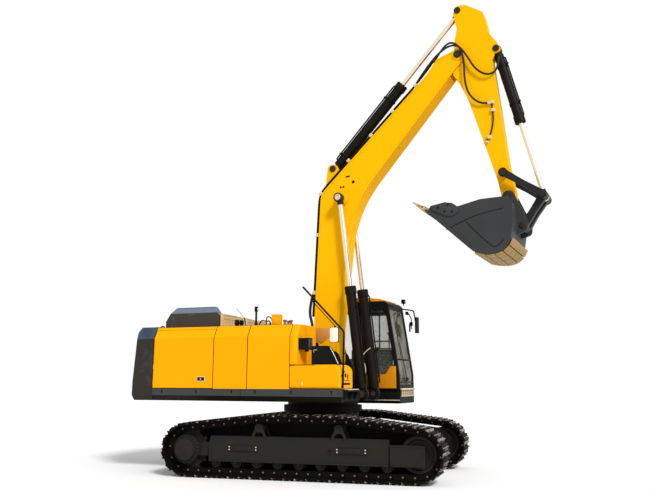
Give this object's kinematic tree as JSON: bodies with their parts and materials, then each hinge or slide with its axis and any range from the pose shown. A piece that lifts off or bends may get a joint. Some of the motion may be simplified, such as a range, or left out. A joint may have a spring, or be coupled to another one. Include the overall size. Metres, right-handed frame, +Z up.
{
  "type": "crawler excavator",
  "caption": "Large crawler excavator parked with its boom raised and its arm hanging, bucket curled, tracks slightly turned under the upper structure.",
  "frame": {"origin": "middle of the machine's bounding box, on the ground", "axes": "+X is the way the upper structure and boom face, +Y its left (the cab's side), +Z up"},
  "size_m": [8.4448, 3.8874, 9.197],
  "materials": {
    "yellow_paint": "satin paint, dusty",
    "grey_paint": "dark grey paint",
    "black_paint": "black paint",
    "tan_paint": "dusty anti-slip plate",
    "rod_chrome": "polished",
    "pin_steel": "bare, worn",
    "track_steel": "worn, dusty",
    "wheel_steel": "worn, greasy",
    "bucket_steel": "worn paint",
    "glazing": "tinted",
    "seat_plastic": "matt",
    "lamp_plastic": "gloss"
  },
  "bodies": {
    "undercarriage": {"carbody": "wheel_steel", "swing_bearing": "wheel_steel", "track_frame_right": "wheel_steel", "track_frame_left": "wheel_steel", "track_right": "track_steel", "track_left": "track_steel", "track_rollers": "wheel_steel", "idlers": "wheel_steel", "final_drives": "wheel_steel"},
    "upper": {"deck": "yellow_paint", "deck_pins": "pin_steel", "side_skirts": "grey_paint", "counterweight": "grey_paint", "hydraulic_tank": "yellow_paint", "fuel_tank": "yellow_paint", "centre_cover": "black_paint", "hood_top": "yellow_paint", "engine": "wheel_steel", "hood_ramp": "tan_paint", "roof_fittings": "black_paint", "tool_box": "yellow_paint", "step_cover": "black_paint", "front_step": "grey_paint", "handrail": "black_paint", "mirrors": "black_paint", "work_lamps": "lamp_plastic", "cab_shell": "black_paint", "cab_roof": "yellow_paint", "cab_glass": "glazing", "operator_station": "seat_plastic"},
    "engine_hood": {"engine_hood": "grey_paint"},
    "right_door": {"right_door": "yellow_paint"},
    "left_rear_door": {"left_rear_door": "yellow_paint"},
    "left_front_door": {"left_front_door": "yellow_paint"},
    "cab_door": {"cab_door": "black_paint", "door_glass": "glazing"},
    "boom": {"boom": "yellow_paint", "boom_pins": "pin_steel"},
    "boom_ram_barrels": {"boom_ram_barrels": "black_paint"},
    "boom_ram_rods": {"boom_ram_rods": "rod_chrome"},
    "arm": {"arm": "yellow_paint", "arm_pins": "pin_steel"},
    "arm_ram_barrel": {"arm_ram_barrel": "black_paint"},
    "arm_ram_rod": {"arm_ram_rod": "rod_chrome"},
    "bucket_ram_barrel": {"bucket_ram_barrel": "black_paint"},
    "bucket_ram_rod": {"bucket_ram_rod": "rod_chrome"},
    "arm_links": {"arm_links": "bucket_steel"},
    "bucket": {"bucket": "bucket_steel", "bucket_teeth": "bucket_steel", "bucket_pins": "pin_steel"},
    "bucket_link": {"bucket_link": "bucket_steel"}
  },
  "joints": [
    {"name": "swing", "type": "hinge", "parent": "undercarriage", "child": "upper", "pos_m": [-0.385, 0, 1.3], "axis": [0, 0, 1], "continuous": true},
    {"name": "boom_lift", "type": "hinge", "parent": "upper", "child": "boom", "pos_m": [-0.135, 0, 2.2], "axis": [0, 1, 0], "range_deg": [-3, 110]},
    {"name": "arm_swing", "type": "hinge", "parent": "boom", "child": "arm", "pos_m": [2.585, 0, 8.16], "axis": [0, -1, 0], "range_deg": [-3, 108]},
    {"name": "bucket_curl", "type": "hinge", "parent": "arm", "child": "bucket", "pos_m": [3.477, 0, 5.199], "axis": [0, -1, 0], "range_deg": [0, 135]},
    {"name": "boom_ram_pivot", "type": "hinge", "parent": "upper", "child": "boom_ram_barrels", "pos_m": [0.595, 0, 1.52], "axis": [0, 1, 0], "range_deg": [-3.91, 107.78]},
    {"name": "boom_ram_stroke", "type": "slide", "parent": "boom_ram_barrels", "child": "boom_ram_rods", "axis": [-0.1196, 0, 0.9928], "range_m": [-1.646, 0.05]},
    {"name": "arm_ram_pivot", "type": "hinge", "parent": "boom", "child": "arm_ram_barrel", "pos_m": [-0.115, 0, 6.11], "axis": [0, -1, 0], "range_deg": [-1.07, 3.43]},
    {"name": "arm_ram_stroke", "type": "slide", "parent": "arm_ram_barrel", "child": "arm_ram_rod", "axis": [0.6716, 0, 0.741], "range_m": [-1.532, 0.047]},
    {"name": "bucket_ram_pivot", "type": "hinge", "parent": "arm", "child": "bucket_ram_barrel", "pos_m": [3.335, 0, 8.19], "axis": [0, -1, 0], "range_deg": [-1, 3.15]},
    {"name": "bucket_ram_stroke", "type": "slide", "parent": "bucket_ram_barrel", "child": "bucket_ram_rod", "axis": [0.2515, 0, -0.9679], "range_m": [-1.37, 0.002]},
    {"name": "arm_links_pivot", "type": "hinge", "parent": "arm", "child": "arm_links", "pos_m": [3.414, 0, 5.645], "axis": [0, -1, 0], "range_deg": [-1, 108.33]},
    {"name": "bucket_link_pivot", "type": "hinge", "parent": "bucket", "child": "bucket_link", "pos_m": [3.737, 0, 4.607], "axis": [0, -1, 0], "range_deg": [-89.95, 1]},
    {"name": "cab_door_hinge", "type": "hinge", "parent": "upper", "child": "cab_door", "pos_m": [-0.085, 1.496, 2.45], "axis": [0, 0, 1], "range_deg": [0, 160]},
    {"name": "engine_hood_hinge", "type": "hinge", "parent": "upper", "child": "engine_hood", "pos_m": [-3.405, 0, 2.844], "axis": [0, -1, 0], "range_deg": [0, 55]},
    {"name": "right_door_hinge", "type": "hinge", "parent": "upper", "child": "right_door", "pos_m": [-3.431, -1.49, 2.1], "axis": [0, 0, -1], "range_deg": [0, 110]},
    {"name": "left_rear_door_hinge", "type": "hinge", "parent": "upper", "child": "left_rear_door", "pos_m": [-3.431, 1.49, 2.1], "axis": [0, 0, 1], "range_deg": [0, 110]},
    {"name": "left_front_door_hinge", "type": "hinge", "parent": "upper", "child": "left_front_door", "pos_m": [-2.043, 1.49, 2.1], "axis": [0, 0, 1], "range_deg": [0, 100]}
  ],
  "couplings": [
    {"joint": "boom_ram_pivot", "follows": "boom_lift", "ratio": 0.97073},
    {"joint": "boom_ram_stroke", "follows": "boom_lift", "m_per_rad": -0.85485},
    {"joint": "arm_ram_pivot", "follows": "arm_swing", "ratio": 0.0225},
    {"joint": "arm_ram_stroke", "follows": "arm_swing", "m_per_rad": -0.80997},
    {"joint": "bucket_ram_pivot", "follows": "bucket_curl", "ratio": 0.0159},
    {"joint": "bucket_ram_stroke", "follows": "bucket_curl", "m_per_rad": -0.58078},
    {"joint": "arm_links_pivot", "follows": "bucket_curl", "ratio": 0.79505},
    {"joint": "bucket_link_pivot", "follows": "bucket_curl", "ratio": -0.6589}
  ]
}
